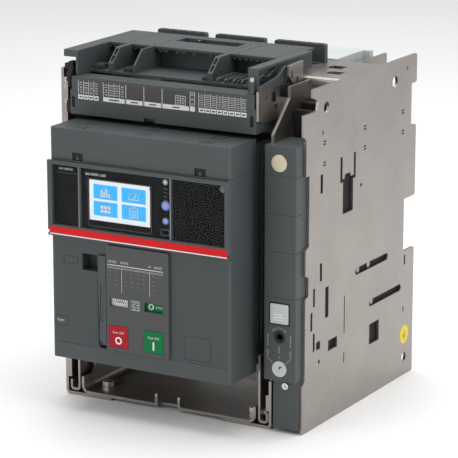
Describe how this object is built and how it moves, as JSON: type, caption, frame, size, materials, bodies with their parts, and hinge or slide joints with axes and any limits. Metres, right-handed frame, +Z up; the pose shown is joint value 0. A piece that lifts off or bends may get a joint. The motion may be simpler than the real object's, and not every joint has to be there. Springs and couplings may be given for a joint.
{
  "type": "withdrawable air circuit breaker",
  "caption": "Low-voltage air circuit breaker in its steel withdrawal cradle, with racking screw, pull-out rails, charging lever, push-buttons and a hinged clear flap over the trip unit.",
  "frame": {"origin": "on the floor, under the middle of the whole object in the isolated position", "axes": "+X to the right seen from the front, +Y to the back (the front faces -Y), +Z up"},
  "size_m": [0.2783, 0.306, 0.3635],
  "materials": {
    "zinc_steel": "satin zinc-plated sheet",
    "plain_steel": "bright turned steel",
    "dark_plastic": "fine matt grain",
    "black_plastic": "smooth matt",
    "light_plastic": "smooth matt moulding",
    "button_grey": "smooth matt",
    "red_plastic": "smooth matt",
    "green_plastic": "smooth matt",
    "flag_plastic": "printed in two colours",
    "clear_plastic": "clear, slightly tinted",
    "screen_face": "lit display",
    "contact_copper": "silver-plated copper, slightly dull",
    "insulator": "moulded polyester, fine grain",
    "spring_steel": "dark oiled"
  },
  "bodies": {
    "cradle": {"left_side_plate": "zinc_steel", "inner_side_plate": "zinc_steel", "outer_side_plate": "zinc_steel", "top_plate": "zinc_steel", "base_pan": "zinc_steel", "racking_column": "dark_plastic", "column_foot": "dark_plastic", "column_plug": "zinc_steel", "screw_bearing": "plain_steel", "terminal_box": "dark_plastic", "connector_blocks": "black_plastic", "wiring_cover": "dark_plastic", "phase_hoods": "dark_plastic", "rear_insulator": "light_plastic", "upper_terminals": "contact_copper", "lower_terminals": "contact_copper", "shutter_guides": "light_plastic", "side_brackets": "zinc_steel", "hook_bracket": "zinc_steel", "cradle_fasteners": "plain_steel"},
    "racking_screw": {"racking_screw": "plain_steel"},
    "carriage": {"racking_slider": "zinc_steel"},
    "position_indicator": {"position_indicator": "button_grey"},
    "release_button": {"release_button": "button_grey"},
    "upper_shutter": {"upper_shutter": "insulator"},
    "lower_shutter": {"lower_shutter": "insulator"},
    "rails": {"left_rail": "zinc_steel", "right_rail": "zinc_steel", "rail_bolts": "plain_steel"},
    "breaker": {"front_cover": "dark_plastic", "cover_cap": "dark_plastic", "operating_panel": "dark_plastic", "button_springs": "spring_steel", "trip_unit": "black_plastic", "trip_screen": "screen_face", "display_surround": "black_plastic", "pole_housing": "dark_plastic", "arc_chutes": "insulator", "upper_contacts": "contact_copper", "lower_contacts": "contact_copper", "current_sensors": "black_plastic", "mechanism_frame": "zinc_steel", "closing_springs": "spring_steel", "spring_motor": "black_plastic", "release_coils": "black_plastic", "auxiliary_contacts": "black_plastic", "button_carrier": "zinc_steel"},
    "off_button": {"off_button": "red_plastic"},
    "on_button": {"on_button": "green_plastic"},
    "reset_button": {"reset_button": "dark_plastic"},
    "state_flag": {"state_flag": "flag_plastic"},
    "spring_flag": {"spring_flag": "flag_plastic"},
    "charging_lever": {"charging_lever": "dark_plastic"},
    "flap": {"flap_frame": "dark_plastic", "flap_window": "clear_plastic"},
    "trip_button_upper": {"trip_button_upper": "button_grey"},
    "trip_button_lower": {"trip_button_lower": "button_grey"},
    "contact_arms": {"moving_contacts": "contact_copper"},
    "main_shaft": {"main_shaft": "plain_steel"},
    "winding_shaft": {"charging_shaft": "plain_steel"}
  },
  "joints": [
    {"name": "rail_pull_out", "type": "slide", "parent": "cradle", "child": "rails", "axis": [0, -1, 0], "range_m": [0, 0.18]},
    {"name": "breaker_racking", "type": "slide", "parent": "rails", "child": "breaker", "axis": [0, 1, 0], "range_m": [0, 0.032]},
    {"name": "carriage_racking", "type": "slide", "parent": "cradle", "child": "carriage", "axis": [0, 1, 0], "range_m": [0, 0.032]},
    {"name": "racking_screw_turn", "type": "hinge", "parent": "cradle", "child": "racking_screw", "pos_m": [0.1178, -0.06, 0.1005], "axis": [0, 1, 0], "range_deg": [0, 2880]},
    {"name": "position_indicator_turn", "type": "hinge", "parent": "cradle", "child": "position_indicator", "pos_m": [0.1176, -0.104, 0.0675], "axis": [0, 1, 0], "range_deg": [0, 90]},
    {"name": "release_button_push", "type": "slide", "parent": "cradle", "child": "release_button", "axis": [0, 1, 0], "range_m": [0, 0.004], "stiffness_N_per_m": 400, "springref_m": -0.002},
    {"name": "upper_shutter_lift", "type": "slide", "parent": "cradle", "child": "upper_shutter", "axis": [0, 0, 1], "range_m": [0, 0.036]},
    {"name": "lower_shutter_drop", "type": "slide", "parent": "cradle", "child": "lower_shutter", "axis": [0, 0, -1], "range_m": [0, 0.036]},
    {"name": "off_button_push", "type": "slide", "parent": "breaker", "child": "off_button", "axis": [0, 1, 0], "range_m": [0, 0.0045], "stiffness_N_per_m": 500, "springref_m": -0.003},
    {"name": "on_button_push", "type": "slide", "parent": "breaker", "child": "on_button", "axis": [0, 1, 0], "range_m": [0, 0.0045], "stiffness_N_per_m": 500, "springref_m": -0.003},
    {"name": "reset_button_push", "type": "slide", "parent": "breaker", "child": "reset_button", "axis": [0, 1, 0], "range_m": [0, 0.003], "stiffness_N_per_m": 300, "springref_m": -0.001},
    {"name": "trip_button_upper_push", "type": "slide", "parent": "breaker", "child": "trip_button_upper", "axis": [0, 1, 0], "range_m": [0, 0.001], "stiffness_N_per_m": 300, "springref_m": -0.0005},
    {"name": "trip_button_lower_push", "type": "slide", "parent": "breaker", "child": "trip_button_lower", "axis": [0, 1, 0], "range_m": [0, 0.001], "stiffness_N_per_m": 300, "springref_m": -0.0005},
    {"name": "charging_lever_pull", "type": "hinge", "parent": "breaker", "child": "charging_lever", "pos_m": [-0.0593, -0.143, 0.084], "axis": [1, 0, 0], "range_deg": [0, 70], "stiffness_Nm_per_rad": 0.25, "springref_deg": -5.73},
    {"name": "flap_open", "type": "hinge", "parent": "breaker", "child": "flap", "pos_m": [-0.0175, -0.1514, 0.1856], "axis": [1, 0, 0], "range_deg": [0, 115]},
    {"name": "main_shaft_turn", "type": "hinge", "parent": "breaker", "child": "main_shaft", "pos_m": [-0.0175, -0.062, 0.15], "axis": [-1, 0, 0], "range_deg": [0, 38]},
    {"name": "contact_arms_turn", "type": "hinge", "parent": "breaker", "child": "contact_arms", "pos_m": [-0.0175, -0.014, 0.116], "axis": [-1, 0, 0], "range_deg": [0, 10]},
    {"name": "state_flag_drop", "type": "slide", "parent": "breaker", "child": "state_flag", "axis": [0, 0, -1], "range_m": [0, 0.011]},
    {"name": "winding_shaft_turn", "type": "hinge", "parent": "breaker", "child": "winding_shaft", "pos_m": [-0.0175, -0.078, 0.112], "axis": [1, 0, 0], "range_deg": [0, 360]},
    {"name": "spring_flag_drop", "type": "slide", "parent": "breaker", "child": "spring_flag", "axis": [0, 0, -1], "range_m": [0, 0.011]}
  ],
  "couplings": [
    {"joint": "carriage_racking", "follows": "breaker_racking", "ratio": 1},
    {"joint": "racking_screw_turn", "follows": "breaker_racking", "rad_per_m": 1570.8},
    {"joint": "position_indicator_turn", "follows": "breaker_racking", "rad_per_m": 49.086},
    {"joint": "upper_shutter_lift", "follows": "breaker_racking", "ratio": 1.125},
    {"joint": "lower_shutter_drop", "follows": "breaker_racking", "ratio": 1.125},
    {"joint": "contact_arms_turn", "follows": "main_shaft_turn", "ratio": 0.26316},
    {"joint": "state_flag_drop", "follows": "main_shaft_turn", "m_per_rad": 0.016576},
    {"joint": "spring_flag_drop", "follows": "winding_shaft_turn", "m_per_rad": 0.00175}
  ]
}
